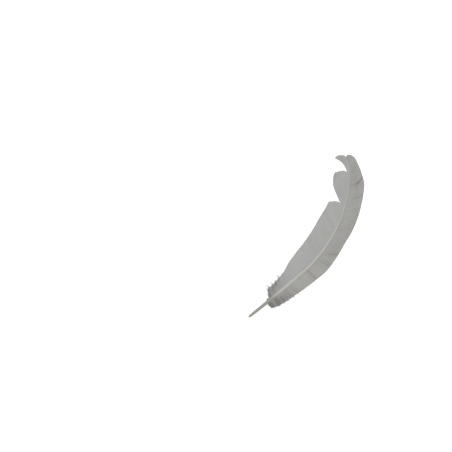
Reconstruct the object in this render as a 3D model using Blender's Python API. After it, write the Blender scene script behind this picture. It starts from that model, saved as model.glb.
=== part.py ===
"""A white turkey wing feather lying convex side up: quill, shaft, two vanes and the down at their foot.

Metres, +Z up, on a surface at Z = 0. The quill end is low on the left and the tip is at the far end, +Y.
A place on the feather is a station, the distance along the shaft from the quill end, and an offset from
the shaft: positive over the wide inner vane, negative over the narrow outer vane. Both are in millimetres.
"""

import math

import bmesh
import bpy
import numpy as np
from mathutils import Matrix, Vector

MM = 0.001

# Shaft in plan: a straight quill, a long bend and a tighter one at the tip
QUILL_END = (-84.5, -118.4)
QUILL_HEADING = 50.8  # degrees from +Y towards +X
SHAFT_RUNS = ((101, -1.5), (166, -47), (25, -32))  # length, turn in degrees
SHAFT_LENGTH = sum(length for length, turn in SHAFT_RUNS)

# Shaft thickness along its length: station, width
SHAFT_WIDTHS = (
    (0, 1.8),
    (1.5, 3.0),
    (5, 3.9),
    (12, 4.5),
    (35, 5.1),
    (62, 4.6),
    (115, 3.5),
    (160, 2.8),
    (200, 2.2),
    (245, 1.4),
    (275, 0.85),
    (292, 0.5),
)
SHAFT_SIDES = 12
SHAFT_STEP = 7
GROOVE_START = 60
GROOVE_DEPTH = 0.3  # share of the radius, along the underside of the shaft

# Side view: the shaft arches up between its ends, and the vanes droop from it
ARCH_RISE = 8.0
FULL_WIDTH = 28.0
INNER_DROP = 6.5
OUTER_DROP = 11.5
ATTACH = 0.25  # share of the radius above the shaft's middle where the vanes leave it

# Vane sheet
ROOT_OFFSET = 0.1
ROOT_THICKNESS = 0.7
EDGE_THICKNESS = 0.4
TIP_THINNING = 0.4  # share of the thickness lost by the tip
RIDGE_HEIGHT = 0.16
RIDGE_PITCH = 5.2
BARB_ROWS = 6

# Each web of hooked barbs lies between two splits. Its first number is how far its edge is curled up. Its
# guide barbs run from the quill end towards the tip. Each is the root station, then stations and offsets:
# one or two that the barb leans towards, and the one where it ends.
INNER_WEBS = (
    (
        0.0,
        (
            (38.5, 40.5, 3.2, 43, 3.4, 42.5, 5.4),
            (42.5, 44, 4.8, 46, 9, 47.8, 14.8),
            (47, 48, 5.4, 50.5, 10.2, 52.5, 15),
            (55, 56, 6, 57.5, 11, 61, 15.6),
            (64, 65.5, 6, 68, 11.5, 70.5, 16.8),
            (72, 73.5, 6.5, 76, 12.5, 80, 18),
            (85, 87.5, 8, 91.5, 15.5, 97, 24.2),
            (100, 103.5, 8.5, 108, 17.5, 114, 27.5),
            (120, 124.5, 9.5, 130.5, 18.5, 138, 29),
            (145, 151, 9.5, 158.5, 19, 168, 29.3),
            (165, 172.5, 8.5, 180.5, 18, 190, 28.5),
            (185, 194, 7.5, 201, 16, 206, 26),
            (200, 210, 6.6, 213, 14.5, 213.3, 25),
            (213, 225, 8.2, 222.4, 14.5, 217.9, 24.7),
        ),
    ),
    (
        1.0,
        (
            (213.6, 222.6, 9.2, 231, 16.5, 246, 22.6),
            (225, 233.5, 7, 243, 16.2, 252.5, 23.6),
            (240, 249, 7, 257.5, 16.5, 259.5, 24),
            (252, 262, 6, 267.5, 13, 264.5, 23.3),
            (262, 273.7, 5.2, 273, 11.5, 267.8, 21.8),
        ),
    ),
    (
        5.0,
        (
            (262.5, 269.5, 7, 290, 6.5, 298.2, 15.2),
            (270, 278, 5.6, 293, 5.5, 299.7, 12.6),
            (278, 284, 3.8, 295, 4.4, 299.6, 9.3),
            (285, 289.5, 2, 295.5, 2.8, 298.2, 5.8),
            (291, 292, 0.3, 293.5, 0.3, 294.6, 0.4),
        ),
    ),
)
OUTER_WEBS = (
    (
        -1.0,
        (
            (37, 35.5, -5, 34.2, -11.3),
            (45, 43, -8, 42.5, -15.3),
            (60, 58.5, -9, 60.5, -18.5),
            (79.6, 78.5, -9, 81.8, -20),
        ),
    ),
    (
        0.6,
        (
            (80, 78.9, -9, 82, -20.3),
            (95, 94, -9, 97, -21.6),
            (111.6, 110.5, -9, 112, -22.4),
        ),
    ),
    (
        -0.4,
        (
            (112, 111, -9, 112.1, -22.6),
            (123, 122.5, -10, 125, -24.3),
            (134.2, 134.2, -10, 139.4, -24.3),
        ),
    ),
    (
        1.6,
        (
            (134.6, 134.6, -9.5, 139.6, -24),
            (142.8, 144.8, -9, 153.9, -23.2),
        ),
    ),
    (
        0.2,
        (
            (143.2, 145.2, -9, 154.1, -23.1),
            (150.6, 154.5, -9, 174, -22.3),
        ),
    ),
    (
        1.4,
        (
            (151, 155, -8.5, 174.4, -22.5),
            (170, 174, -9, 190, -24),
            (190, 193, -9.5, 207, -24.5),
            (210, 212, -9.5, 223, -24.3),
            (228.6, 229.2, -9, 239, -23.8),
        ),
    ),
    (
        0.0,
        (
            (229, 229.4, -6, 233, -13.9, 239.4, -23.6),
            (239, 240, -7, 243.5, -15.5, 250, -23.5),
            (244.5, 246, -8, 249.5, -17.5, 257.5, -22),
            (248.7, 249.6, -8.3, 253.6, -18, 266, -18.5),
        ),
    ),
    (
        1.6,
        (
            (249.1, 250, -8, 254, -17.5, 267, -18),
            (258, 260.5, -6, 265, -12.5, 272.5, -15.8),
            (268, 270.5, -5.5, 274, -10.5, 279, -13.3),
            (277, 279.5, -4.5, 282.5, -8.5, 285.5, -11.9),
            (285, 287, -2.8, 289, -5.5, 290.7, -8.1),
            (291, 292, -1, 292.8, -2.5, 293.3, -4.6),
        ),
    ),
)

# Down at the foot of the vanes: root station, station and offset of the tip
INNER_DOWN = (
    (36, 38, 4),
    (41, 43.5, 8.8),
    (45, 47, 15.2),
    (50, 50, 18.4),
    (55, 58, 18.2),
    (60, 64, 17.4),
    (65, 72.5, 20.8),
    (72, 79, 19),
)
OUTER_DOWN = (
    (37, 33.6, -6.5),
    (39.5, 33.8, -10.8),
    (44, 37.5, -13.8),
    (50, 44.5, -16.8),
    (56, 52, -18.6),
    (62, 60, -19.8),
    (70, 69, -20.6),
    (77, 77.5, -21.6),
)
LOCK_ROOT = 1.4  # half the width of a lock where it leaves the shaft
LOCK_BELLY = 2.8
LOCK_TIP = 0.3
LOCK_BOW = 1.6
LOCK_CURL = -9.0
LOCK_CLEARANCE = 0.25

VANE_COLOUR = (0.52, 0.52, 0.51, 1)
SHAFT_COLOUR = (0.6, 0.59, 0.55, 1)


def smooth(knots, at):
    """Reads a smooth curve through rows of knots, whose first column is what `at` is measured along."""
    knots = np.array(knots, float)
    x, y = knots[:, 0], knots[:, 1:]
    slopes = np.gradient(y, x, axis=0)
    i = int(np.clip(np.searchsorted(x, at) - 1, 0, len(x) - 2))
    span = x[i + 1] - x[i]
    t = min(max((at - x[i]) / span, 0.0), 1.0)
    start = (1 + 2 * t) * (1 - t) ** 2 * y[i] + t * (1 - t) ** 2 * span * slopes[i]
    end = t * t * (3 - 2 * t) * y[i + 1] - t * t * (1 - t) * span * slopes[i + 1]
    return start + end


def shaft_at(station):
    """The shaft's plan position and heading in radians. Past the tip the line runs on straight."""
    x, y = QUILL_END
    heading = math.radians(QUILL_HEADING)
    left = station
    for length, turn in SHAFT_RUNS:
        bend = math.radians(turn) / length
        run = min(left, length)
        end = heading + bend * run
        x += (math.cos(heading) - math.cos(end)) / bend
        y += (math.sin(end) - math.sin(heading)) / bend
        heading = end
        left -= run
    return x + left * math.sin(heading), y + left * math.cos(heading), heading


def plan(station, offset):
    x, y, heading = shaft_at(station)
    return x - offset * math.cos(heading), y + offset * math.sin(heading)


def shaft_radius(station):
    return smooth(SHAFT_WIDTHS, station)[0] / 2


def shaft_height(station):
    """The middle of the shaft above the surface."""
    share = min(station / SHAFT_LENGTH, 1.0)
    return shaft_radius(station) + ARCH_RISE * math.sin(math.pi * share)


def vane_under(station, offset, curl):
    """The underside of a vane that nothing holds up."""
    reach = abs(offset) / FULL_WIDTH
    drop = INNER_DROP if offset > 0 else OUTER_DROP
    root = shaft_height(station) + ATTACH * shaft_radius(station) - ROOT_THICKNESS / 2
    return root - drop * reach**1.5 + curl * reach**2


def vane_thickness(station, offset):
    reach = min(abs(offset) / FULL_WIDTH, 1.0)
    thinning = 1 - TIP_THINNING * min(station / SHAFT_LENGTH, 1.0)
    return (ROOT_THICKNESS + (EDGE_THICKNESS - ROOT_THICKNESS) * reach) * thinning


def barb_point(guides, root, along):
    """Station and offset on the barb that leaves the shaft at root, from 0 at the shaft to 1 at its tip."""
    run = smooth(guides, root).reshape(-1, 2)
    start = (root, math.copysign(ROOT_OFFSET, run[-1][1]))
    points = np.vstack([start, run])
    while len(points) > 1:
        points = points[:-1] + along * np.diff(points, axis=0)
    return points[0]


def web_object(name, guides, curl, columns, clearance=0.0):
    """A closed sheet of barbs, ridged along every second one. Where it would dip too low, it lies flat."""
    bm = bmesh.new()
    bmesh.ops.create_grid(bm, x_segments=columns, y_segments=BARB_ROWS, size=0.5)
    thickness = bm.verts.layers.float.new("thickness")
    first, last = guides[0][0], guides[-1][0]
    for vert in bm.verts:
        across, along = vert.co.x + 0.5, vert.co.y + 0.5
        station, offset = barb_point(guides, first + (last - first) * across, along)
        ridged = round(across * columns) % 2 and 0.01 < along < 0.99
        vert[thickness] = vane_thickness(station, offset) + (RIDGE_HEIGHT if ridged else 0)
        under = max(vane_under(station, offset, curl), clearance)
        vert.co = Vector((*plan(station, offset), under)) * MM
    made = bmesh.ops.extrude_face_region(bm, geom=bm.faces[:])
    for vert in made["geom"]:
        if isinstance(vert, bmesh.types.BMVert):
            vert.co.z += vert[thickness] * MM
    bmesh.ops.triangulate(bm, faces=bm.faces[:])
    bmesh.ops.recalc_face_normals(bm, faces=bm.faces[:])
    return object_from(bm, name)


def lock_guides(root, tip_station, tip_offset):
    """Three guide barbs of one tapering lock of down."""
    lean = (root + tip_station) / 2 + LOCK_BOW
    return [
        (
            root + side * LOCK_ROOT,
            lean + side * LOCK_BELLY,
            tip_offset * 0.55,
            tip_station + side * LOCK_TIP,
            tip_offset,
        )
        for side in (-1, 0, 1)
    ]


def shaft_object():
    """Round quill and shaft, tapered to the tip, with a groove along the underside."""
    bm = bmesh.new()
    near_end = [row[0] for row in SHAFT_WIDTHS[:3]]
    rest = np.linspace(near_end[-1], SHAFT_LENGTH, round(SHAFT_LENGTH / SHAFT_STEP))[1:]
    loop = None
    for station in near_end + list(rest):
        x, y, heading = shaft_at(station)
        radius = shaft_radius(station)
        centre = Vector((x, y, shaft_height(station)))
        turn = Matrix.Rotation(-heading, 4, "Z") @ Matrix.Rotation(math.pi / 2, 4, "X")
        placed = Matrix.Translation(centre * MM) @ turn
        ring = bmesh.ops.create_circle(
            bm, cap_ends=False, radius=radius * MM, segments=SHAFT_SIDES, matrix=placed
        )["verts"]
        if station > GROOVE_START:
            min(ring, key=lambda v: v.co.z).co.z += GROOVE_DEPTH * radius * MM
        edges = list({edge for vert in ring for edge in vert.link_edges})
        if loop is None:
            bmesh.ops.contextual_create(bm, geom=edges)
        else:
            bmesh.ops.bridge_loops(bm, edges=loop + edges)
        loop = edges
    bmesh.ops.contextual_create(bm, geom=loop)
    bmesh.ops.triangulate(bm, faces=bm.faces[:])
    bmesh.ops.recalc_face_normals(bm, faces=bm.faces[:])
    return object_from(bm, "feather")


def object_from(bm, name):
    mesh = bpy.data.meshes.new(name)
    bm.to_mesh(mesh)
    bm.free()
    made = bpy.data.objects.new(name, mesh)
    bpy.context.scene.collection.objects.link(made)
    return made


def material(name, colour, roughness):
    made = bpy.data.materials.new(name)
    made.use_nodes = True
    surface = made.node_tree.nodes["Principled BSDF"]
    surface.inputs["Base Color"].default_value = colour
    surface.inputs["Roughness"].default_value = roughness
    surface.inputs["Metallic"].default_value = 0.0
    made.diffuse_color = colour
    return made


def joined(base, parts):
    """Joins the parts to the base in one closed solid, and removes them."""
    group = bpy.data.collections.new("vanes and down")
    bpy.context.scene.collection.children.link(group)
    for part in parts:
        bpy.context.scene.collection.objects.unlink(part)
        group.objects.link(part)
    union = base.modifiers.new("grown together", "BOOLEAN")
    union.operation = "UNION"
    union.operand_type = "COLLECTION"
    union.collection = group
    union.solver = "EXACT"
    union.material_mode = "TRANSFER"
    graph = bpy.context.evaluated_depsgraph_get()
    whole = bpy.data.meshes.new_from_object(base.evaluated_get(graph))
    base.modifiers.clear()
    base.data = whole
    for part in parts:
        bpy.data.objects.remove(part)
    bpy.data.collections.remove(group)
    return base


def main():
    for old in list(bpy.data.objects):
        bpy.data.objects.remove(old)
    vane_look = material("vane", VANE_COLOUR, 0.6)
    shaft_look = material("shaft", SHAFT_COLOUR, 0.4)
    parts = []
    for curl, guides in INNER_WEBS + OUTER_WEBS:
        columns = 2 * max(2, round((guides[-1][0] - guides[0][0]) / RIDGE_PITCH))
        parts.append(web_object("web", guides, curl, columns))
    for lock in INNER_DOWN + OUTER_DOWN:
        parts.append(web_object("down", lock_guides(*lock), LOCK_CURL, 2, LOCK_CLEARANCE))
    for part in parts:
        part.data.materials.append(vane_look)
    feather = shaft_object()
    feather.data.materials.append(shaft_look)
    feather = joined(feather, parts)
    feather.data.shade_smooth()
    feather.data.set_sharp_from_angle(angle=math.radians(35))


main()
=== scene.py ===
"""The looks of a white turkey wing feather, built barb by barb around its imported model.

The tables below are in millimetres. A place on the feather is a station, the distance along the shaft from
the quill end, and an offset from the shaft: positive over the wide inner vane, negative over the narrow
outer vane. The shaft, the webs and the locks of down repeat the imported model's own, so that each piece
lies where its solid does.
"""

import math

import bmesh
import bpy
import numpy as np
from bpy.props import FloatProperty, FloatVectorProperty, IntProperty, PointerProperty
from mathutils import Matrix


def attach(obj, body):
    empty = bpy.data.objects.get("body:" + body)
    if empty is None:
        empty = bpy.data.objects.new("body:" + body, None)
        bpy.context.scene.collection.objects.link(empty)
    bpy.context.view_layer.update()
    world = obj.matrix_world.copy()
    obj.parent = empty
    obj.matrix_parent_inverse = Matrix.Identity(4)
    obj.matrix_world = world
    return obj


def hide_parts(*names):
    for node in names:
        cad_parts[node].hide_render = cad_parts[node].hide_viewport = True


bl_info = {
    "name": "Wing Feather",
    "version": (1, 0, 0),
    "blender": (4, 5, 0),
    "location": "View3D > Sidebar > Feather",
    "description": "Builds a wing feather, with its quill, barbs and down, around its packed model",
    "category": "Object",
}

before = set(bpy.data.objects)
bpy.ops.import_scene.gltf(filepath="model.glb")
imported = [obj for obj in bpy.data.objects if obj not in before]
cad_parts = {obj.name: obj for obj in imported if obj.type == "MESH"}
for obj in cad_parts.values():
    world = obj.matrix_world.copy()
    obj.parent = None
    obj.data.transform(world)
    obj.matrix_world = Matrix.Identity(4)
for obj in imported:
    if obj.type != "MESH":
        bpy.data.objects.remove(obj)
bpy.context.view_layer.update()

MM = 0.001
NODE = "feather"
BODY = "root"

# Shaft in plan: a straight quill, a long bend and a tighter one at the tip
QUILL_END = (-84.5, -118.4)
QUILL_HEADING = 50.8  # degrees from +Y towards +X
SHAFT_RUNS = ((101, -1.5), (166, -47), (25, -32))  # length, turn in degrees
SHAFT_LENGTH = sum(length for length, turn in SHAFT_RUNS)
SHAFT_WIDTHS = (
    (0, 1.8),
    (1.5, 3.0),
    (5, 3.9),
    (12, 4.5),
    (35, 5.1),
    (62, 4.6),
    (115, 3.5),
    (160, 2.8),
    (200, 2.2),
    (245, 1.4),
    (275, 0.85),
    (292, 0.5),
)
GROOVED = (45, 85)  # stations over which the round quill gives way to the grooved shaft
GROOVES = (  # turn in radians, width, and depth as a share of the radius
    (1.5 * math.pi, 0.42, 0.3),
    (0.5 * math.pi, 0.35, 0.07),
    (0.95, 0.12, 0.05),
    (2.19, 0.12, 0.05),
)
QUILL_RINGS = 0.012  # height of the faint rings round the quill, as a share of the radius
QUILL_WAVES = 0.012  # unevenness of its width
QUILL_WAVE_PITCH = 9.0
SMOOTH_SHAFT = (50, 70)  # stations over which the waves die out
QUILL_HOLE = ((3.2, 0.36), (1.2, 0.42), (0.3, 0.5), (0.05, 0.6), (0.0, 0.72))  # station, radius
QUILL_LIP = (0.05, 0.2, 0.5, 0.9)  # stations of the rings over the rounded end

# Side view: the shaft arches up between its ends, and the vanes droop from it
ARCH_RISE = 8.0
FULL_WIDTH = 28.0  # offset at which a vane has drooped in full
INNER_DROP = 6.5
OUTER_DROP = 11.5
ATTACH = 0.25  # share of the radius above the shaft's middle where the vanes leave it
ROOT_OFFSET = 0.1
ROOT_THICKNESS = 0.7
EDGE_THICKNESS = 0.4
TIP_THINNING = 0.4  # share of the thickness lost by the tip

# Each web of hooked barbs lies between two splits. Its first number is how far its edge is curled up. Its
# guide barbs run from the quill end towards the tip. Each is the root station, then stations and offsets:
# one or two that the barb leans towards, and the one where it ends.
INNER_WEBS = (
    (
        0.0,
        (
            (38.5, 40.5, 3.2, 43, 3.4, 42.5, 5.4),
            (42.5, 44, 4.8, 46, 9, 47.8, 14.8),
            (47, 48, 5.4, 50.5, 10.2, 52.5, 15),
            (55, 56, 6, 57.5, 11, 61, 15.6),
            (64, 65.5, 6, 68, 11.5, 70.5, 16.8),
            (72, 73.5, 6.5, 76, 12.5, 80, 18),
            (85, 87.5, 8, 91.5, 15.5, 97, 24.2),
            (100, 103.5, 8.5, 108, 17.5, 114, 27.5),
            (120, 124.5, 9.5, 130.5, 18.5, 138, 29),
            (145, 151, 9.5, 158.5, 19, 168, 29.3),
            (165, 172.5, 8.5, 180.5, 18, 190, 28.5),
            (185, 194, 7.5, 201, 16, 206, 26),
            (200, 210, 6.6, 213, 14.5, 213.3, 25),
            (213, 225, 8.2, 222.4, 14.5, 217.9, 24.7),
        ),
    ),
    (
        1.0,
        (
            (213.6, 222.6, 9.2, 231, 16.5, 246, 22.6),
            (225, 233.5, 7, 243, 16.2, 252.5, 23.6),
            (240, 249, 7, 257.5, 16.5, 259.5, 24),
            (252, 262, 6, 267.5, 13, 264.5, 23.3),
            (262, 273.7, 5.2, 273, 11.5, 267.8, 21.8),
        ),
    ),
    (
        5.0,
        (
            (262.5, 269.5, 7, 290, 6.5, 298.2, 15.2),
            (270, 278, 5.6, 293, 5.5, 299.7, 12.6),
            (278, 284, 3.8, 295, 4.4, 299.6, 9.3),
            (285, 289.5, 2, 295.5, 2.8, 298.2, 5.8),
            (291, 292, 0.3, 293.5, 0.3, 294.6, 0.4),
        ),
    ),
)
OUTER_WEBS = (
    (
        -1.0,
        (
            (37, 35.5, -5, 34.2, -11.3),
            (45, 43, -8, 42.5, -15.3),
            (60, 58.5, -9, 60.5, -18.5),
            (79.6, 78.5, -9, 81.8, -20),
        ),
    ),
    (
        0.6,
        (
            (80, 78.9, -9, 82, -20.3),
            (95, 94, -9, 97, -21.6),
            (111.6, 110.5, -9, 112, -22.4),
        ),
    ),
    (
        -0.4,
        (
            (112, 111, -9, 112.1, -22.6),
            (123, 122.5, -10, 125, -24.3),
            (134.2, 134.2, -10, 139.4, -24.3),
        ),
    ),
    (
        1.6,
        (
            (134.6, 134.6, -9.5, 139.6, -24),
            (142.8, 144.8, -9, 153.9, -23.2),
        ),
    ),
    (
        0.2,
        (
            (143.2, 145.2, -9, 154.1, -23.1),
            (150.6, 154.5, -9, 174, -22.3),
        ),
    ),
    (
        1.4,
        (
            (151, 155, -8.5, 174.4, -22.5),
            (170, 174, -9, 190, -24),
            (190, 193, -9.5, 207, -24.5),
            (210, 212, -9.5, 223, -24.3),
            (228.6, 229.2, -9, 239, -23.8),
        ),
    ),
    (
        0.0,
        (
            (229, 229.4, -6, 233, -13.9, 239.4, -23.6),
            (239, 240, -7, 243.5, -15.5, 250, -23.5),
            (244.5, 246, -8, 249.5, -17.5, 257.5, -22),
            (248.7, 249.6, -8.3, 253.6, -18, 266, -18.5),
        ),
    ),
    (
        1.6,
        (
            (249.1, 250, -8, 254, -17.5, 267, -18),
            (258, 260.5, -6, 265, -12.5, 272.5, -15.8),
            (268, 270.5, -5.5, 274, -10.5, 279, -13.3),
            (277, 279.5, -4.5, 282.5, -8.5, 285.5, -11.9),
            (285, 287, -2.8, 289, -5.5, 290.7, -8.1),
            (291, 292, -1, 292.8, -2.5, 293.3, -4.6),
        ),
    ),
)

# Down at the foot of the vanes: root station, station and offset of the tip
INNER_DOWN = (
    (36, 38, 4),
    (41, 43.5, 8.8),
    (45, 47, 15.2),
    (50, 50, 18.4),
    (55, 58, 18.2),
    (60, 64, 17.4),
    (65, 72.5, 20.8),
    (72, 79, 19),
)
OUTER_DOWN = (
    (37, 33.6, -6.5),
    (39.5, 33.8, -10.8),
    (44, 37.5, -13.8),
    (50, 44.5, -16.8),
    (56, 52, -18.6),
    (62, 60, -19.8),
    (70, 69, -20.6),
    (77, 77.5, -21.6),
)
LOCK_ROOT = 1.4  # half the width of a lock where it leaves the shaft
LOCK_BELLY = 2.8
BELLY_SHARE = 0.55  # how far out the belly lies
LOCK_BOW = 1.6
LOCK_CURL = -9.0

# Downy barbs of a lock. Short locks beside the quill are crowded and broad, long ones come to a point.
STUBBY_TIPS = (8, 16)  # tip offsets over which short locks give way to long ones
STUBBY_SHIFT = 0.8  # how far a short lock's tip moves up the shaft
DOWN_REACH = (0.7, 1.2)  # shortest and longest barb against the lock
DOWN_CROWDING = (1.4, -0.4)  # power that makes long barbs rare, and what a short lock adds
DOWN_SPREAD = (0.4, 1.0)  # half the width at the tip, and what a short lock adds
DOWN_STRAY = 0.25
DOWN_WAVES = (1.2, 2.6)  # along one barb
DOWN_CURL = (0.3, 1)  # shares of the lock's curl
DOWN_RISE = (0.1, 1.5)  # least and greatest rise at the tip
DOWN_BOB = 0.3  # height of a barb's waves at its tip
DOWN_SUNK = 0.4  # depth under the vane at the root
DOWN_GAP = 0.3  # least height

# Painted shadow along the barbs, in splits, creases and gaps, and at the foot with the down's own grey: root
# station, width, the shares of the barb where the mark starts and ends, and how dark it is
INNER_PAINTED_SHADOWS = (
    (43, 3.0, 0.1, 1.2, 0.2),
    (51, 1.2, 0.3, 1.2, 0.16),
    (57.5, 1.8, 0.6, 1.2, 0.22),
    (64, 1.2, 0.7, 1.2, 0.18),
    (72, 2.0, 0.8, 1.2, 0.1),
    (176, 0.6, 0.35, 1.2, 0.06),
)
OUTER_PAINTED_SHADOWS = (
    (39, 3.0, 0.2, 1.2, 0.22),
    (48, 3.4, 0.2, 1.2, 0.22),
    (56, 3.2, 0.3, 0.9, 0.26),
    (62, 1.2, 0.3, 0.8, 0.2),
    (67, 1.0, 0.2, 0.9, 0.08),
    (75.5, 1.1, 0.1, 0.8, 0.08),
    (110, 1.0, 0.1, 1.2, 0.2),
    (117.5, 0.8, 0.3, 1.2, 0.1),
    (131.5, 0.8, 0.0, 1.2, 0.16),
    (140.5, 0.7, 0.2, 0.8, 0.12),
    (143, 0.6, 0.2, 1.2, 0.16),
    (150.8, 0.6, 0.2, 1.2, 0.1),
    (158.5, 0.8, 0.35, 0.8, 0.08),
    (167, 3.0, 0.75, 1.2, 0.1),
    (190.5, 0.5, 0.68, 0.85, 0.1),
    (192.5, 0.5, 0.1, 0.28, 0.12),
    (216.5, 0.5, 0.2, 0.45, 0.12),
    (228.8, 0.55, 0.3, 1.2, 0.2),
    (242.5, 0.5, 0.1, 0.5, 0.08),
    (248.9, 0.8, 0.05, 1.2, 0.2),
    (248.9, 1.1, 0.5, 1.2, 0.32),
)

# Barbs of the vanes
FLOOR_GAP = 0.27  # least height of a barb's middle
FAN_SHARE = 0.7  # share of the spread of a web's tips that sets how many barbs it has
HALF_WIDTHS = (0.07, 0.4)  # least and greatest
TIP_SHARES = (0.93, 0.965, 0.985, 1.0)  # shares of a barb's run where its tip narrows
TIP_WIDTHS = (1.0, 0.85, 0.6, 0.12)

# Their unevenness. They cling in bundles, which lie in wider waves. A pair gives an amount in the hooked
# vane, and what the loose foot adds to it.
LOOSE_ROOTS = (48, 78)  # root stations over which loose barbs give way to hooked ones
BUNDLE_PITCH = 1.9
WAVE_PITCH = 6.5
WAVE_SHARE = 0.7  # share of the ripples that the waves make, and the bundles the rest
LOOSE_THINNING = 0.2  # share of the width lost towards a loose barb's tip
VANE_RAGGED = 0.01  # share by which the lengths of hooked barbs vary
RAGGED_RANGE = (-1.2, 0.4)
BUNDLE_RAGGED = 0.65
BUNDLE_DRIFT = (0.16, 0.3)
BARB_DRIFT = (0.05, 0.12)
BUNDLE_STREAK = (0.9, 2.5)
BARB_STREAK = (0.35, 0.6)
WAVE_STREAK = 0.8

# Their painted shade: how far the painted shadow reaches from a split and from the shaft, and the root
# stations over which the foot's grey and painted shadow goes and the darkening at the tip comes
SPLIT_REACH = 0.6
SHAFT_REACH = 2.2
FOOT_SHADED = (52, 84)
TIP_SHADED = (235, 255)

# Photograph: its frame, the pixel where the model's origin falls, and what one pixel measures
PHOTO_SIZE = 452
ORIGIN_PIXEL = (306.3, 236.0)
PIXEL_MM = 1.46

# Stage, in metres
FLOOR_DEPTH = 0.0001
KEY_PLACE = (-0.55, 0.35, 1.15)
KEY_SIZE = 0.9
WHITE = (1, 1, 1, 1)


def smooth(knots, at):
    """Reads a smooth curve at each place of `at` through rows of knots, whose first column is the place."""
    knots = np.array(knots, float)
    at = np.atleast_1d(at)
    x, y = knots[:, 0], knots[:, 1:]
    slopes = np.gradient(y, x, axis=0)
    i = np.clip(np.searchsorted(x, at) - 1, 0, len(x) - 2)
    span = (x[i + 1] - x[i])[:, None]
    t = np.clip((at - x[i])[:, None] / span, 0, 1)
    start = (1 + 2 * t) * (1 - t) ** 2 * y[i] + t * (1 - t) ** 2 * span * slopes[i]
    end = t * t * (3 - 2 * t) * y[i + 1] - t * t * (1 - t) * span * slopes[i + 1]
    return start + end


def fade(low, high, at):
    """From 0 at low to 1 at high, without a corner."""
    t = np.clip((at - low) / (high - low), 0, 1)
    return t * t * (3 - 2 * t)


def ripple(random, at, pitch):
    """Smooth random numbers from -1 to 1, with a new one about every pitch."""
    knots = np.arange(at.min() - pitch, at.max() + 3 * pitch, pitch)
    return smooth(np.column_stack([knots, random.uniform(-1, 1, len(knots))]), at)[:, 0]


def shaft_at(station):
    """The shaft's plan position and heading in radians. Past the tip the line runs on straight."""
    left = np.array(station, float)
    x, y = QUILL_END
    heading = math.radians(QUILL_HEADING)
    for length, turn in SHAFT_RUNS:
        bend = math.radians(turn) / length
        run = np.minimum(left, length)
        end = heading + bend * run
        x = x + (np.cos(heading) - np.cos(end)) / bend
        y = y + (np.sin(end) - np.sin(heading)) / bend
        heading = end
        left = left - run
    return x + left * np.sin(heading), y + left * np.cos(heading), heading


def plan(station, offset):
    x, y, heading = shaft_at(station)
    return x - offset * np.cos(heading), y + offset * np.sin(heading)


def shaft_radius(station):
    station = np.asarray(station, float)
    return smooth(SHAFT_WIDTHS, station.ravel())[:, 0].reshape(station.shape) / 2


def shaft_height(station):
    """The middle of the shaft above the surface."""
    share = np.minimum(np.asarray(station, float) / SHAFT_LENGTH, 1.0)
    return shaft_radius(station) + ARCH_RISE * np.sin(math.pi * share)


def vane_middle(station, offset, curl):
    """Height of the middle of the vane's thickness. A vane that would dip too low lies flat."""
    reach = np.abs(offset) / FULL_WIDTH
    drop = np.where(offset > 0, INNER_DROP, OUTER_DROP)
    root = shaft_height(station) + ATTACH * shaft_radius(station) - ROOT_THICKNESS / 2
    under = np.maximum(root - drop * reach**1.5 + curl * reach**2, 0)
    thickness = ROOT_THICKNESS + (EDGE_THICKNESS - ROOT_THICKNESS) * np.minimum(reach, 1)
    thinning = 1 - TIP_THINNING * np.minimum(station / SHAFT_LENGTH, 1.0)
    return under + thickness * thinning / 2


def bend(points, share):
    """Reads the curve that starts at the first point, leans towards the next ones and ends at the last."""
    while len(points) > 1:
        points = points[:-1] + share * np.diff(points, axis=0)
    return points[0]


def barb_grid(guides, roots, share):
    """Stations and offsets of the barbs from these roots, each read at these shares of its run."""
    run = smooth(guides, roots).reshape(len(roots), -1, 2)
    side = np.sign(run[:, -1, 1])
    start = np.column_stack([roots, side * ROOT_OFFSET])[:, None]
    points = np.concatenate([start, run], axis=1).swapaxes(0, 1)
    grid = bend(points[:, :, None], share[:, None])
    return grid[..., 0], grid[..., 1]


class Socket:
    """A node's output. Arithmetic on it adds Math nodes to its tree."""

    def __init__(self, graph, socket):
        self.graph = graph
        self.socket = socket

    def output(self, name):
        return Socket(self.graph, self.socket.node.outputs[name])

    def math(self, operation, *terms):
        return self.graph.node("ShaderNodeMath", {"operation": operation}, dict(enumerate(terms)))

    def __add__(self, other):
        return self.math("ADD", self, other)

    def __radd__(self, other):
        return self.math("ADD", other, self)

    def __sub__(self, other):
        return self.math("SUBTRACT", self, other)

    def __rsub__(self, other):
        return self.math("SUBTRACT", other, self)

    def __mul__(self, other):
        return self.math("MULTIPLY", self, other)

    def __rmul__(self, other):
        return self.math("MULTIPLY", other, self)

    def __truediv__(self, other):
        return self.math("DIVIDE", self, other)

    def scaled(self, share):
        return self.graph.node(
            "ShaderNodeVectorMath", {"operation": "SCALE"}, {"Vector": self, "Scale": share}
        )

    def plus(self, other):
        return self.graph.node("ShaderNodeVectorMath", {"operation": "ADD"}, {0: self, 1: other})


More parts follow.
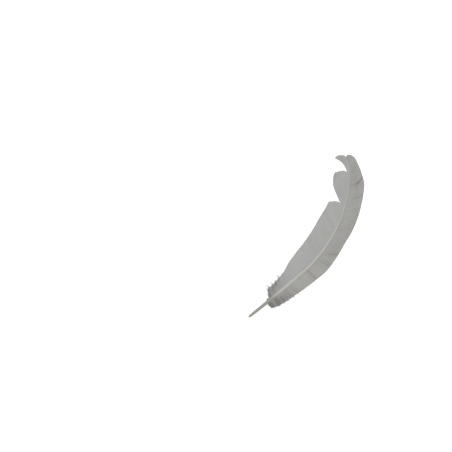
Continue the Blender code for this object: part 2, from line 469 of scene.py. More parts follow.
class Graph:
    """Adds nodes to a shader tree or a Geometry Nodes tree."""

    def __init__(self, tree):
        self.tree = tree

    def node(self, kind, settings=None, inputs=None):
        """Adds a node, sets its settings, then gives its inputs values or links. Returns its output."""
        made = self.tree.nodes.new(kind)
        for name, value in (settings or {}).items():
            setattr(made, name, value)
        for key, value in (inputs or {}).items():
            named = [socket for socket in made.inputs if socket.enabled and socket.name == key]
            entry = named[0] if named else made.inputs[key]
            if isinstance(value, Socket):
                self.tree.links.new(value.socket, entry)
            else:
                entry.default_value = value
        shown = [socket for socket in made.outputs if socket.enabled]
        return Socket(self, shown[0]) if shown else None

    def ramp(self, factor, stops):
        """A colour ramp with these stops: place and colour."""
        result = self.node("ShaderNodeValToRGB", {}, {"Fac": factor})
        band = result.socket.node.color_ramp
        for _ in range(len(stops) - len(band.elements)):
            band.elements.new(0.5)
        for element, (place, colour) in zip(band.elements, stops):
            element.position = place
            element.color = (*colour, 1)
        return result

    def attribute(self, name, output="Fac"):
        return self.node("ShaderNodeAttribute", {"attribute_name": name}).output(output)


def strand_object(name, strands, attributes):
    """Loose edges, one run for each strand of points in millimetres, with a number at each point."""
    points = np.concatenate(strands) * MM
    ends = np.cumsum([len(strand) for strand in strands])
    first = np.delete(np.arange(len(points)), ends - 1)
    mesh = bpy.data.meshes.new(name)
    mesh.vertices.add(len(points))
    mesh.vertices.foreach_set("co", points.ravel())
    mesh.edges.add(len(first))
    mesh.edges.foreach_set("vertices", np.column_stack([first, first + 1]).ravel())
    for label, values in attributes.items():
        layer = mesh.attributes.new(label, "FLOAT", "POINT")
        layer.data.foreach_set("value", np.concatenate(values).astype(np.float32))
    made = bpy.data.objects.new(name, mesh)
    bpy.context.scene.collection.objects.link(made)
    return made


def geometry_tree(name, inputs):
    """A Geometry Nodes tree with these number inputs. Returns its graph and its group input."""
    tree = bpy.data.node_groups.new(name, "GeometryNodeTree")
    tree.interface.new_socket("Geometry", in_out="INPUT", socket_type="NodeSocketGeometry")
    for label, kind in inputs.items():
        tree.interface.new_socket(label, in_out="INPUT", socket_type=kind)
    tree.interface.new_socket("Geometry", in_out="OUTPUT", socket_type="NodeSocketGeometry")
    graph = Graph(tree)
    return graph, graph.node("NodeGroupInput")


def end_tree(graph, geometry, material):
    """Makes instances real, gives them the material, and joins them to the group output."""
    real = graph.node("GeometryNodeRealizeInstances", {}, {"Geometry": geometry})
    dressed = graph.node("GeometryNodeSetMaterial", {}, {"Geometry": real, "Material": material})
    graph.node("NodeGroupOutput", {}, {0: dressed})
    return graph.tree


def plain_mesh(made, tree, values):
    """Runs the tree on the object with these inputs and keeps the result as its plain mesh."""
    modifier = made.modifiers.new(tree.name, "NODES")
    modifier.node_group = tree
    for item in tree.interface.items_tree:
        if item.in_out == "INPUT" and item.name in values:
            modifier[item.identifier] = values[item.name]
    graph = bpy.context.evaluated_depsgraph_get()
    mesh = bpy.data.meshes.new_from_object(made.evaluated_get(graph))
    made.modifiers.clear()
    strands = made.data
    made.data = mesh
    bpy.data.meshes.remove(strands)
    return made


def finish_piece(made):
    """Hangs a finished piece on the model: it rides the body and stands for part of the solid feather."""
    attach(made, BODY)
    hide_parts(NODE)


def ribbon_tree():
    """Gives each strand a kite-shaped section: a ridge above and a flatter keel below."""
    sizes = {"Tilt": "NodeSocketFloat", "Ridge": "NodeSocketFloat", "Keel": "NodeSocketFloat"}
    graph, given = geometry_tree("Barbs", {**sizes, "Material": "NodeSocketMaterial"})
    curve = graph.node("GeometryNodeMeshToCurve", {}, {"Mesh": given.output("Geometry")})
    level = graph.node("GeometryNodeSetCurveNormal", {"mode": "Z_UP"}, {"Curve": curve})
    tilted = graph.node("GeometryNodeSetCurveTilt", {}, {"Curve": level, "Tilt": given.output("Tilt")})
    kite = {"Width": 2.0, "Bottom Height": given.output("Ridge"), "Top Height": given.output("Keel")}
    section = graph.node("GeometryNodeCurvePrimitiveQuadrilateral", {"mode": "KITE"}, kite)
    corner = graph.node("GeometryNodeInputIndex")
    across = corner.math("SINE", corner * (math.pi / 2))
    section = graph.node(
        "GeometryNodeStoreNamedAttribute",
        {"data_type": "FLOAT", "domain": "POINT"},
        {"Geometry": section, "Name": "across", "Value": across},
    )
    width = graph.node("GeometryNodeInputNamedAttribute", {"data_type": "FLOAT"}, {"Name": "half_width"})
    swept = {"Curve": tilted, "Profile Curve": section, "Scale": width, "Fill Caps": True}
    ribbons = graph.node("GeometryNodeCurveToMesh", {}, swept)
    return end_tree(graph, ribbons, given.output("Material"))


def down_tree():
    """Downy barbs: thin strands, with bent barbules standing off both sides of each."""
    sizes = dict.fromkeys(("Spacing", "Length", "Thickness", "Spread"), "NodeSocketFloat")
    kinds = {**sizes, "Seed": "NodeSocketInt", "Material": "NodeSocketMaterial"}
    graph, given = geometry_tree("Down", kinds)
    curve = graph.node("GeometryNodeMeshToCurve", {}, {"Mesh": given.output("Geometry")})
    level = graph.node("GeometryNodeSetCurveNormal", {"mode": "Z_UP"}, {"Curve": curve})
    circle = graph.node("GeometryNodeCurvePrimitiveCircle", {}, {"Resolution": 4, "Radius": 1.0})
    width = graph.node("GeometryNodeInputNamedAttribute", {"data_type": "FLOAT"}, {"Name": "half_width"})
    swept = {"Curve": level, "Profile Curve": circle, "Scale": width, "Fill Caps": True}
    strands = graph.node("GeometryNodeCurveToMesh", {}, swept)

    bend = {"Resolution": 2, "Start": (0, 0, 0), "Middle": (-0.15, 0, 0.5), "End": (0, 0, 1)}
    hair = graph.node("GeometryNodeCurveQuadraticBezier", {}, bend)
    along = graph.node("GeometryNodeSplineParameter").output("Factor")
    taper = (1.1 - along) * given.output("Thickness") / given.output("Length")
    triangle = graph.node("GeometryNodeCurvePrimitiveCircle", {}, {"Resolution": 3, "Radius": 1.0})
    swept = {"Curve": hair, "Profile Curve": triangle, "Scale": taper, "Fill Caps": True}
    barbule = graph.node("GeometryNodeCurveToMesh", {}, swept)

    spaced = {"Curve": level, "Length": given.output("Spacing")}
    places = graph.node("GeometryNodeCurveToPoints", {"mode": "LENGTH"}, spaced)
    index = graph.node("GeometryNodeInputIndex")
    side = index.math("MODULO", index, 2.0) * 2.0 - 1.0
    seed = given.output("Seed")
    cube = {"Min": (-1, -1, -0.5), "Max": (1, 1, 0.8), "Seed": seed}
    scatter = graph.node("FunctionNodeRandomValue", {"data_type": "FLOAT_VECTOR"}, cube)
    lean = places.output("Tangent").scaled(0.7)
    aside = places.output("Normal").scaled(side)
    aim = lean.plus(aside).plus(scatter.scaled(given.output("Spread")))
    axes = {"primary_axis": "Z", "secondary_axis": "X"}
    turned = {"Primary Axis": aim, "Secondary Axis": places.output("Tangent")}
    turn = graph.node("FunctionNodeAxesToRotation", axes, turned)
    fluff = graph.node("GeometryNodeInputNamedAttribute", {"data_type": "FLOAT"}, {"Name": "fluff"})
    uneven = {"Min": 0.6, "Max": 1.15, "Seed": seed}
    length = graph.node("FunctionNodeRandomValue", {"data_type": "FLOAT"}, uneven)
    size = length * fluff * given.output("Length")
    stood = {"Points": places, "Instance": barbule, "Rotation": turn, "Scale": size}
    barbules = graph.node("GeometryNodeInstanceOnPoints", {}, stood)
    fluffy = graph.node("GeometryNodeJoinGeometry", {}, {"Geometry": strands})
    graph.tree.links.new(barbules.socket, fluffy.socket.node.inputs["Geometry"])
    return end_tree(graph, fluffy, given.output("Material"))


def new_material(name):
    """A material's graph and its Principled shader, with nothing else in the tree but the output."""
    made = bpy.data.materials.new(name)
    made.use_nodes = True
    return made, Graph(made.node_tree), made.node_tree.nodes["Principled BSDF"]


def mix_colours(graph, share, first, second):
    """A blend of two colours, each a socket or three numbers."""
    ends = [value if isinstance(value, Socket) else (*value, 1) for value in (first, second)]
    return graph.node(
        "ShaderNodeMix", {"data_type": "RGBA"}, {"Factor": share, "A": ends[0], "B": ends[1]}
    )


def barb_material(settings):
    """Dull white barbs, greyer with painted shadow where they part and beside the shaft, and at the downy
    foot with painted shadow on the down's own grey, with the fine chevrons of their barbules.

    A shade of 1.06 gives the light colour and 0.56 the dark one.
    """
    made, graph, surface = new_material("vane barbs")
    shade = graph.attribute("shade")
    run = graph.attribute("run")
    across = graph.attribute("across")
    place = graph.node("ShaderNodeTexCoord").output("Object")
    cloud = graph.node("ShaderNodeTexNoise", {}, {"Vector": place, "Scale": 70.0, "Detail": 3.0})
    slope = across.math("ABSOLUTE", across) * settings.chevron_slope
    chevron = run.math("SINE", (run / settings.barbule_pitch + slope) * (2 * math.pi))
    # The shade attribute carries the random streaks and the painted shadow; a lower shade mixes in the dark
    # colour
    depth = (1.06 - shade) * 2.0 + (cloud.output("Fac") - 0.5) * 0.25 - chevron * 0.025
    depth = depth.math("MINIMUM", depth, 1.0)
    colour = mix_colours(graph, depth, settings.light_colour, settings.dark_colour)
    graph.tree.links.new(colour.socket, surface.inputs["Base Color"])
    rough = 0.56 + (cloud.output("Fac") - 0.5) * 0.3 - chevron * 0.03
    graph.tree.links.new(rough.socket, surface.inputs["Roughness"])
    relief = {"Strength": 0.35, "Distance": 0.03 * MM, "Height": chevron}
    bump = graph.node("ShaderNodeBump", {}, relief)
    graph.tree.links.new(bump.socket, surface.inputs["Normal"])
    surface.inputs["Sheen Weight"].default_value = 0.12
    surface.inputs["Specular IOR Level"].default_value = 0.3
    return made


def shaft_material(settings):
    """Glossy horn at the quill, paler and duller along the shaft, with streaks along the grain."""
    made, graph, surface = new_material("shaft horn")
    station = graph.attribute("station") / SHAFT_LENGTH
    grain = graph.attribute("grain", "Vector")
    streaks = graph.node("ShaderNodeTexNoise", {}, {"Vector": grain, "Scale": 3.0, "Detail": 6.0})
    blotch = graph.node("ShaderNodeTexNoise", {}, {"Vector": grain, "Scale": 0.9, "Detail": 2.0})
    horn, pith, tip = settings.quill_colour, settings.shaft_colour, settings.tip_colour
    stops = ((0.0, horn), (0.15, horn), (0.2, pith), (0.55, pith), (0.85, tip))
    along = graph.ramp(station, stops)
    shadow = (streaks.output("Fac") - 0.45) * 0.5 + (blotch.output("Fac") - 0.5) * 0.3
    darker = [channel * 0.7 for channel in settings.quill_colour]
    colour = mix_colours(graph, shadow.math("MAXIMUM", shadow, 0.0), along, darker)
    graph.tree.links.new(colour.socket, surface.inputs["Base Color"])
    rough = graph.ramp(station, ((0.0, (0.3,) * 3), (0.14, (0.34,) * 3), (0.24, (0.48,) * 3)))
    uneven = rough + (streaks.output("Fac") - 0.5) * 0.2
    graph.tree.links.new(uneven.socket, surface.inputs["Roughness"])
    relief = {"Strength": 0.5, "Distance": 0.06 * MM, "Height": streaks.output("Fac")}
    bump = graph.node("ShaderNodeBump", {}, relief)
    graph.tree.links.new(bump.socket, surface.inputs["Normal"])
    surface.inputs["Specular IOR Level"].default_value = 0.5
    return made


def down_material(settings):
    """Soft grey down, a little warmer than the barbs."""
    made, graph, surface = new_material("down")
    place = graph.node("ShaderNodeTexCoord").output("Object")
    cloud = graph.node("ShaderNodeTexNoise", {}, {"Vector": place, "Scale": 160.0, "Detail": 4.0})
    depth = (cloud.output("Fac") - 0.35) * 1.6
    depth = depth.math("MAXIMUM", depth, 0.0)
    colour = mix_colours(graph, depth, settings.light_colour, settings.dark_colour)
    graph.tree.links.new(colour.socket, surface.inputs["Base Color"])
    rough = 0.75 + (cloud.output("Fac") - 0.5) * 0.3
    graph.tree.links.new(rough.socket, surface.inputs["Roughness"])
    surface.inputs["Sheen Weight"].default_value = 0.3
    surface.inputs["Specular IOR Level"].default_value = 0.2
    return made


def shaft_section(station, turn, radius):
    """Distance from the shaft's middle to its surface at each turn in radians, 0 at the inner vane's side."""
    grooved = fade(*GROOVED, station)
    depth = sum(deep * np.exp(-(((turn - middle) / width) ** 2)) for middle, width, deep in GROOVES)
    rings = QUILL_RINGS * (1 - grooved) * np.sin(5 * turn + 0.11 * station)
    return radius * (1 - grooved * depth + rings)


def shaft_mesh(settings):
    """Rings from the floor of the hole in the quill's end, out over its lip and along to the tip."""
    random = np.random.default_rng(settings.seed)
    hole_stations, hole_radii = zip(*QUILL_HOLE)
    outside = np.concatenate([QUILL_LIP, np.linspace(1.5, SHAFT_LENGTH, settings.rings)])
    stations = np.concatenate([hole_stations, outside])
    waves = QUILL_WAVES * ripple(random, outside, QUILL_WAVE_PITCH) * (1 - fade(*SMOOTH_SHAFT, outside))
    radii = np.concatenate([hole_radii, shaft_radius(outside) * (1 + waves)])
    x, y, heading = shaft_at(stations)
    height = shaft_height(stations)
    turns = np.arange(settings.sides) * 2 * math.pi / settings.sides
    bm = bmesh.new()
    along = bm.verts.layers.float.new("station")
    grain = bm.verts.layers.float_vector.new("grain")
    before = None
    for i, station in enumerate(stations):
        ring = []
        for turn in turns:
            out = shaft_section(station, turn, radii[i])
            aside, up = out * math.cos(turn), out * math.sin(turn)
            point = (
                x[i] - aside * math.cos(heading[i]),
                y[i] + aside * math.sin(heading[i]),
                max(height[i] + up, 0.0),
            )
            vert = bm.verts.new([value * MM for value in point])
            vert[along] = station
            vert[grain] = (math.cos(turn), math.sin(turn), station / settings.grain_length)
            ring.append(vert)
        if before is None:
            bm.faces.new(ring)
        else:
            for j in range(settings.sides):
                bm.faces.new((before[j], before[j - 1], ring[j - 1], ring[j]))
        before = ring
    bm.faces.new(before[::-1])
    bmesh.ops.recalc_face_normals(bm, faces=bm.faces[:])
    mesh = bpy.data.meshes.new("shaft")
    bm.to_mesh(mesh)
    bm.free()
    mesh.shade_smooth()
    mesh.set_sharp_from_angle(angle=math.radians(50))
    return mesh


def web_roots(guides, spacing, random):
    """Root stations across one web, a little unevenly spaced, and closer together where the barbs fan out."""
    first, last = guides[0][0], guides[-1][0]
    fan = abs(guides[-1][-2] - guides[0][-2]) * FAN_SHARE
    count = max(3, round(max(last - first, fan) / spacing))
    roots = np.linspace(first, last, count)
    roots[1:-1] += random.uniform(-0.2, 0.2, count - 2) * spacing
    return roots


def barb_shares(segments):
    """Shares of a barb's run at which its points lie, closer together where its tip narrows."""
    return np.concatenate([np.linspace(0, TIP_SHARES[0], segments - 2), TIP_SHARES[1:]])


def painted_shadow_depth(painted_shadows, roots, share):
    """How much painted shadow darkens the barbs from these roots at each share of their run."""
    dark = np.zeros((len(roots), len(share)))
    for root, width, start, end, strength in painted_shadows:
        near = np.exp(-(((roots - root) / width) ** 2))
        within = fade(start - 0.1, start + 0.1, share) * (1 - fade(end - 0.1, end + 0.1, share))
        dark += strength * near[:, None] * within
    return dark


def added(pair, share):
    """The first number of a pair, with this share of the second added."""
    return pair[0] + pair[1] * share


def barb_widths(points, loose, share, settings):
    """Half widths in metres that close the gaps between the barbs, narrowed at each tip."""
    tangent = np.gradient(points[..., :2], axis=1)
    tangent /= np.linalg.norm(tangent, axis=2, keepdims=True)
    step = np.gradient(points[..., :2], axis=0)
    apart = np.abs(tangent[..., 0] * step[..., 1] - tangent[..., 1] * step[..., 0])
    taper = np.interp(share, TIP_SHARES, TIP_WIDTHS)
    thinned = 1 - LOOSE_THINNING * loose[:, None] * fade(0.5, 1, share)
    return np.clip(apart * settings.overlap / 2, *HALF_WIDTHS) * taper * thinned * MM


def barb_shades(roots, offset, share, uneven, settings):
    """How light each barb is along its run: about 1 in the open, less with painted shadow beside splits and
    the shaft, greyer at the foot from the down's own grey with painted shadow, and darker towards the tip.
    """
    from_split = np.minimum(roots - roots[0], roots[-1] - roots)
    # Painted shadow in the gaps beside each split
    split_shadow = settings.painted_split_shadow * np.exp(-from_split / SPLIT_REACH)[:, None] * fade(0.1, 0.5, share)
    # At the foot: the down's own grey, with painted shadow
    downy = settings.foot_grey_and_shadow * (1 - fade(*FOOT_SHADED, roots))[:, None]
    tip = settings.tip_shade * fade(*TIP_SHADED, roots)[:, None]
    # Painted shadow of the raised shaft, beside it
    beside = settings.painted_shaft_shadow * np.exp(-np.abs(offset) / SHAFT_REACH)
    streak = settings.streak * uneven[:, None] * fade(0, 0.25, share)
    return 1 + streak - split_shadow - downy - tip - beside


def web_strands(web, painted_shadows, settings, random):
    """The barbs of one web: points in millimetres, half widths, shades and runs along each barb."""
    curl, guides = web
    roots = web_roots(guides, settings.barb_spacing / MM, random)
    share = barb_shares(settings.segments)
    station, offset = barb_grid(guides, roots, share)
    count = len(roots)

    loose = 1 - fade(*LOOSE_ROOTS, roots)
    bundle = ripple(random, roots, BUNDLE_PITCH)
    wave = ripple(random, roots, WAVE_PITCH)
    fine = random.normal(0, 1, count)
    ragged = (VANE_RAGGED + settings.ragged * loose) * random.uniform(*RAGGED_RANGE, count)
    reach = (1 + ragged + BUNDLE_RAGGED * settings.ragged * loose * bundle)[:, None]
    station = roots[:, None] + (station - roots[:, None]) * reach
    offset = offset * reach
    drift = added(BUNDLE_DRIFT, loose) * bundle + added(BARB_DRIFT, loose) * fine
    station = station + drift[:, None] * share**2

    x, y = plan(station, offset)
    lift = settings.ripple_height / MM * (WAVE_SHARE * wave + (1 - WAVE_SHARE) * bundle)
    fluffed = loose * random.uniform(0, 1, count)
    height = vane_middle(station, offset, curl) + (lift + fluffed)[:, None] * fade(0, 1, share)
    points = np.stack([x, y, np.maximum(height, FLOOR_GAP)], axis=2)

    half = barb_widths(points, loose, share, settings)
    uneven = added(BARB_STREAK, loose) * fine + added(BUNDLE_STREAK, loose) * bundle + WAVE_STREAK * wave
    # Painted shadows from the tables darken the shade further
    shade = barb_shades(roots, offset, share, uneven, settings) - painted_shadow_depth(painted_shadows, roots, share)
    length = np.linalg.norm(np.diff(points, axis=1), axis=2)
    run = np.concatenate([np.zeros((count, 1)), np.cumsum(length, axis=1)], axis=1)
    return points, half, shade, run


def vane_object(name, webs, painted_shadows, settings, random, tilt, material):
    """All the barbs on one side of the shaft, as one mesh."""
    strands = []
    traits = {"half_width": [], "shade": [], "run": []}
    for web in webs:
        points, *numbers = web_strands(web, painted_shadows, settings, random)
        strands.extend(points)
        for rows, values in zip(traits.values(), numbers):
            rows.extend(values)
    made = strand_object(name, strands, traits)
    section = {"Tilt": tilt, "Ridge": settings.ridge, "Keel": settings.keel, "Material": material}
    return plain_mesh(made, ribbon_tree(), section)


def down_strands(locks, settings, random):
    """The downy barbs of every lock: points in millimetres, half widths and how long their barbules are."""
    share = np.linspace(0, 1, settings.segments)
    strands, halves, fluffs = [], [], []
    for root, tip_station, tip_offset in locks:
        stubby = 1 - fade(*STUBBY_TIPS, abs(tip_offset))
        belly = (root + tip_station) / 2 + LOCK_BOW
        for _ in range(round(settings.barbs * (1 + stubby))):
            across = random.uniform(-1, 1)
            long = random.uniform(0, 1) ** added(DOWN_CROWDING, stubby)
            out = tip_offset * (DOWN_REACH[0] + (DOWN_REACH[1] - DOWN_REACH[0]) * long)
            aside = across * added(DOWN_SPREAD, stubby) + random.uniform(-DOWN_STRAY, DOWN_STRAY)
            guide = np.array(
                [
                    [root + across * LOCK_ROOT, math.copysign(ROOT_OFFSET, tip_offset)],
                    [belly + across * LOCK_BELLY, out * BELLY_SHARE],
                    [tip_station + STUBBY_SHIFT * stubby + aside, out],
                ]
            )
            line = bend(guide[:, None], share[:, None])
            turns = 2 * math.pi * (random.uniform(*DOWN_WAVES) * share + random.uniform(0, 1))
            station = line[:, 0] + settings.sway / MM * share * np.sin(turns)
            offset = line[:, 1]
            x, y = plan(station, offset)
            rise = random.uniform(*DOWN_RISE) * share**2 + DOWN_BOB * share * np.cos(turns)
            curl = LOCK_CURL * random.uniform(*DOWN_CURL)
            height = vane_middle(station, offset, curl) + rise - DOWN_SUNK * (1 - share)
            strands.append(np.column_stack([x, y, np.maximum(height, DOWN_GAP)]))
            halves.append(settings.thickness * (1.15 - 0.55 * share))
            fluffs.append(fade(0.02, 0.2, share) * (1 - 0.6 * share))
    return strands, halves, fluffs


def down_object(name, locks, settings, random, material):
    strands, halves, fluffs = down_strands(locks, settings, random)
    made = strand_object(name, strands, {"half_width": halves, "fluff": fluffs})
    values = {
        "Spacing": settings.barbule_spacing,
        "Length": settings.barbule_length,
        "Thickness": settings.barbule_thickness,
        "Spread": 0.45,
        "Seed": settings.seed,
        "Material": material,
    }
    return plain_mesh(made, down_tree(), values)


class ShaftSettings(bpy.types.PropertyGroup):
    sides: IntProperty(name="Sides", description="Sides of the quill's section", default=48, min=12)
    rings: IntProperty(name="Rings", description="Rings from the quill to the tip", default=210, min=40)
    grain_length: FloatProperty(
        name="Grain length", description="Length of a streak against its width, in millimetres", default=26.0
    )
    quill_colour: FloatVectorProperty(
        name="Quill", description="Horn of the bare quill", subtype="COLOR", default=(0.34, 0.325, 0.28)
    )
    shaft_colour: FloatVectorProperty(
        name="Shaft",
        description="Pale shaft between the vanes",
        subtype="COLOR",
        default=(0.515, 0.515, 0.475),
    )
    tip_colour: FloatVectorProperty(
        name="Shaft tip", description="Thin end of the shaft", subtype="COLOR", default=(0.47, 0.47, 0.465)
    )
    seed: IntProperty(name="Seed", description="Start of the random numbers", default=4)


class VaneSettings(bpy.types.PropertyGroup):
    barb_spacing: FloatProperty(
        name="Barb spacing", description="Along the shaft", default=0.42 * MM, unit="LENGTH", precision=5
    )
    overlap: FloatProperty(
        name="Overlap", description="Width of a barb against the space it fills", default=1.5, min=1.0
    )
    ridge: FloatProperty(name="Ridge", description="Height over half the barb's width", default=0.3)
    keel: FloatProperty(name="Keel", description="Depth under half the barb's width", default=0.16)
    shingle: FloatProperty(
        name="Shingle", description="How far each barb leans over the next", subtype="ANGLE", default=0.16
    )
    segments: IntProperty(name="Segments", description="Along each barb", default=24, min=8)
    ripple_height: FloatProperty(
        name="Ripple height",
        description="Unevenness at the edge",
        default=0.2 * MM,
        unit="LENGTH",
        precision=5,
    )
    ragged: FloatProperty(name="Ragged foot", description="Unevenness of the lowest barbs", default=0.06)
    streak: FloatProperty(name="Streaks", description="Difference in shade between barbs", default=0.02)
    # Painted shadow beside splits and beside the shaft; at the foot, the down's own grey with painted shadow
    painted_split_shadow: FloatProperty(name="Split shade", description="Darkening beside every split", default=0.06)
    foot_grey_and_shadow: FloatProperty(name="Foot shade", description="Darkening at the downy foot", default=0.13)
    painted_shaft_shadow: FloatProperty(name="Root shade", description="Darkening beside the shaft", default=0.03)
    tip_shade: FloatProperty(name="Tip shade", description="Darkening towards the tip", default=0.0)
    barbule_pitch: FloatProperty(
        name="Barbule pitch", description="Along the barb", default=0.16 * MM, unit="LENGTH", precision=6
    )
    chevron_slope: FloatProperty(
        name="Chevron slope", description="Barbule rows crossed from ridge to edge", default=1.3
    )
    light_colour: FloatVectorProperty(
        name="Barbs", description="Barbs in the open", subtype="COLOR", default=(0.53, 0.53, 0.525)
    )
    # The dark colour that painted shadow and the downy foot mix in
    dark_colour: FloatVectorProperty(
        name="Shaded barbs",
        description="Barbs that part or turn downy",
        subtype="COLOR",
        default=(0.27, 0.265, 0.25),
    )
    seed: IntProperty(name="Seed", description="Start of the random numbers", default=11)


class DownSettings(bpy.types.PropertyGroup):
    barbs: IntProperty(name="Barbs", description="Downy barbs in each lock", default=17, min=1)
    segments: IntProperty(name="Segments", description="Points along each barb", default=14, min=5)
    thickness: FloatProperty(
        name="Thickness", description="Half the barb's", default=0.1 * MM, unit="LENGTH", precision=6
    )
    sway: FloatProperty(
        name="Sway", description="Waviness at the tip", default=0.3 * MM, unit="LENGTH", precision=5
    )
    barbule_spacing: FloatProperty(
        name="Barbule spacing", description="Along the barb", default=0.34 * MM, unit="LENGTH", precision=6
    )
    barbule_length: FloatProperty(
        name="Barbule length", description="Longest barbules", default=1.3 * MM, unit="LENGTH", precision=5
    )
    barbule_thickness: FloatProperty(
        name="Barbule thickness",
        description="Half the root's",
        default=0.055 * MM,
        unit="LENGTH",
        precision=6,
    )
    light_colour: FloatVectorProperty(
        name="Down", description="Down in the light", subtype="COLOR", default=(0.36, 0.35, 0.335)
    )
    dark_colour: FloatVectorProperty(
        name="Deep down", description="Down in the shade", subtype="COLOR", default=(0.2, 0.19, 0.17)
    )
    seed: IntProperty(name="Seed", description="Start of the random numbers", default=23)


class StageSettings(bpy.types.PropertyGroup):
    floor_size: FloatProperty(name="Floor size", description="Radius", default=12.0, unit="LENGTH")
    camera_height: FloatProperty(
        name="Camera height", description="Above the surface", default=1.4, unit="LENGTH"
    )
    key_power: FloatProperty(
        name="Key light", description="Soft light from the left", default=4.6, unit="POWER"
    )
    sky_light: FloatProperty(name="Sky light", description="Even light from all around", default=0.68)


class FEATHER_OT_shaft(bpy.types.Operator):
    """Builds the quill and the shaft"""

    bl_idname = "feather.shaft"
    bl_label = "Quill and shaft"

    def execute(self, context):
        settings = context.scene.feather_shaft
        made = bpy.data.objects.new("shaft", shaft_mesh(settings))
        context.scene.collection.objects.link(made)
        made.data.materials.append(shaft_material(settings))
        finish_piece(made)
        return {"FINISHED"}


class FEATHER_OT_inner_vane(bpy.types.Operator):
    """Builds the wide inner vane, barb by barb"""

    bl_idname = "feather.inner_vane"
    bl_label = "Inner vane"

    def execute(self, context):
        settings = context.scene.feather_inner_vane
        random = np.random.default_rng(settings.seed)
        look = barb_material(settings)
        made = vane_object("inner_vane", INNER_WEBS, INNER_PAINTED_SHADOWS, settings, random, settings.shingle, look)
        finish_piece(made)
        return {"FINISHED"}


class FEATHER_OT_outer_vane(bpy.types.Operator):
    """Builds the narrow outer vane with its splits, barb by barb"""

    bl_idname = "feather.outer_vane"
    bl_label = "Outer vane"

    def execute(self, context):
        settings = context.scene.feather_outer_vane
        random = np.random.default_rng(settings.seed)
        look = barb_material(settings)
        made = vane_object("outer_vane", OUTER_WEBS, OUTER_PAINTED_SHADOWS, settings, random, -settings.shingle, look)
        finish_piece(made)
        return {"FINISHED"}


class FEATHER_OT_down(bpy.types.Operator):
    """Builds the down at the foot of both vanes"""

    bl_idname = "feather.down"
    bl_label = "Down"

    def execute(self, context):
        settings = context.scene.feather_down
        random = np.random.default_rng(settings.seed)
        look = down_material(settings)
        for name, locks in (("inner_down", INNER_DOWN), ("outer_down", OUTER_DOWN)):
            finish_piece(down_object(name, locks, settings, random, look))
        return {"FINISHED"}


class FEATHER_OT_stage(bpy.types.Operator):
    """Sets up the pale floor, the soft light and the camera straight above"""

    bl_idname = "feather.stage"
    bl_label = "Stage"

    def execute(self, context):
        settings = context.scene.feather_stage
        scene = context.scene
        scene.view_settings.view_transform = "Standard"
        floor_on(settings)
        light_from_left(settings)
        sky(settings)
        camera_above(settings)
        return {"FINISHED"}


def floor_on(settings):
    """A round pale floor just under the feather."""
    bm = bmesh.new()
    bmesh.ops.create_circle(bm, cap_ends=True, radius=settings.floor_size, segments=96)
    bmesh.ops.translate(bm, verts=bm.verts[:], vec=(0, 0, -FLOOR_DEPTH))
    mesh = bpy.data.meshes.new("floor")
    bm.to_mesh(mesh)
    bm.free()
    made = bpy.data.objects.new("floor", mesh)
    bpy.context.scene.collection.objects.link(made)
    look, _, surface = new_material("pale floor")
    surface.inputs["Base Color"].default_value = (0.9, 0.9, 0.9, 1)
    surface.inputs["Roughness"].default_value = 0.9
    surface.inputs["Emission Color"].default_value = WHITE
    surface.inputs["Emission Strength"].default_value = 0.5
    mesh.materials.append(look)


def light_from_left(settings):
    """One large soft light, up on the left."""
    lamp = bpy.data.lights.new("key", "AREA")
    lamp.shape = "DISK"
    lamp.size = KEY_SIZE
    lamp.energy = settings.key_power
    made = bpy.data.objects.new("key", lamp)
    made.location = KEY_PLACE
    made.rotation_euler = (-made.location).to_track_quat("-Z", "Y").to_euler()
    bpy.context.scene.collection.objects.link(made)


def sky(settings):
    """White all around to look at, and a softer even light to see by."""
    world = bpy.data.worlds.new("sky")
    world.use_nodes = True
    bpy.context.scene.world = world
    graph = Graph(world.node_tree)
    world.node_tree.nodes.clear()
    seen = graph.node("ShaderNodeBackground", {}, {"Color": WHITE, "Strength": 1.1})
    light = graph.node("ShaderNodeBackground", {}, {"Color": WHITE, "Strength": settings.sky_light})
    direct = graph.node("ShaderNodeLightPath").output("Is Camera Ray")
    both = graph.node("ShaderNodeMixShader", {}, {0: direct, 1: light, 2: seen})
    graph.node("ShaderNodeOutputWorld", {}, {"Surface": both})


def camera_above(settings):
    """Looks straight down, with the photograph's framing."""
    centre = PHOTO_SIZE / 2
    lens = bpy.data.cameras.new("camera")
    lens.sensor_width = 36
    lens.lens = lens.sensor_width * settings.camera_height / (PHOTO_SIZE * PIXEL_MM * MM)
    made = bpy.data.objects.new("camera", lens)
    x = (centre - ORIGIN_PIXEL[0]) * PIXEL_MM * MM
    y = (ORIGIN_PIXEL[1] - centre) * PIXEL_MM * MM
    made.location = (x, y, settings.camera_height)
    bpy.context.scene.collection.objects.link(made)
    bpy.context.scene.camera = made


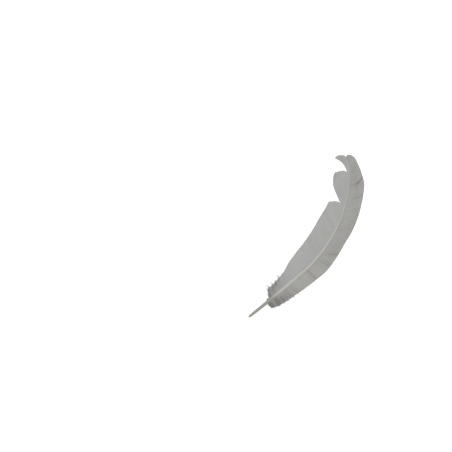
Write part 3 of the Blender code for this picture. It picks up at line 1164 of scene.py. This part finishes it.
class FEATHER_PT_sidebar(bpy.types.Panel):
    """Lists the feather's sizes and colours, and the steps that build it"""

    bl_label = "Wing Feather"
    bl_idname = "FEATHER_PT_sidebar"
    bl_space_type = "VIEW_3D"
    bl_region_type = "UI"
    bl_category = "Feather"

    def draw(self, context):
        for operator, group in STEPS:
            box = self.layout.box()
            box.operator(operator)
            settings = getattr(context.scene, group)
            for name in settings.bl_rna.properties.keys():
                if name not in ("rna_type", "name"):
                    box.prop(settings, name)


STEPS = (
    ("feather.stage", "feather_stage"),
    ("feather.shaft", "feather_shaft"),
    ("feather.inner_vane", "feather_inner_vane"),
    ("feather.outer_vane", "feather_outer_vane"),
    ("feather.down", "feather_down"),
)
GROUPS = {
    "feather_stage": StageSettings,
    "feather_shaft": ShaftSettings,
    "feather_inner_vane": VaneSettings,
    "feather_outer_vane": VaneSettings,
    "feather_down": DownSettings,
}
CLASSES = (
    StageSettings,
    ShaftSettings,
    VaneSettings,
    DownSettings,
    FEATHER_OT_stage,
    FEATHER_OT_shaft,
    FEATHER_OT_inner_vane,
    FEATHER_OT_outer_vane,
    FEATHER_OT_down,
    FEATHER_PT_sidebar,
)


def register():
    for kind in CLASSES:
        bpy.utils.register_class(kind)
    for name, group in GROUPS.items():
        setattr(bpy.types.Scene, name, PointerProperty(type=group))


def unregister():
    for name in GROUPS:
        delattr(bpy.types.Scene, name)
    for kind in reversed(CLASSES):
        bpy.utils.unregister_class(kind)


def main():
    register()
    outer = bpy.context.scene.feather_outer_vane
    outer.seed = 37
    outer.ripple_height = 0.32 * MM
    outer.ragged = 0.025
    outer.streak = 0.034
    # Stronger painted shadow at the outer vane's foot and beside its shaft
    outer.foot_grey_and_shadow = 0.15
    outer.painted_shaft_shadow = 0.07
    outer.tip_shade = 0.04
    outer.light_colour = (0.535, 0.535, 0.515)
    outer.dark_colour = (0.29, 0.265, 0.25)
    bpy.ops.feather.stage()
    bpy.ops.feather.shaft()
    bpy.ops.feather.inner_vane()
    bpy.ops.feather.outer_vane()
    bpy.ops.feather.down()


if __name__ == "__main__":
    main()
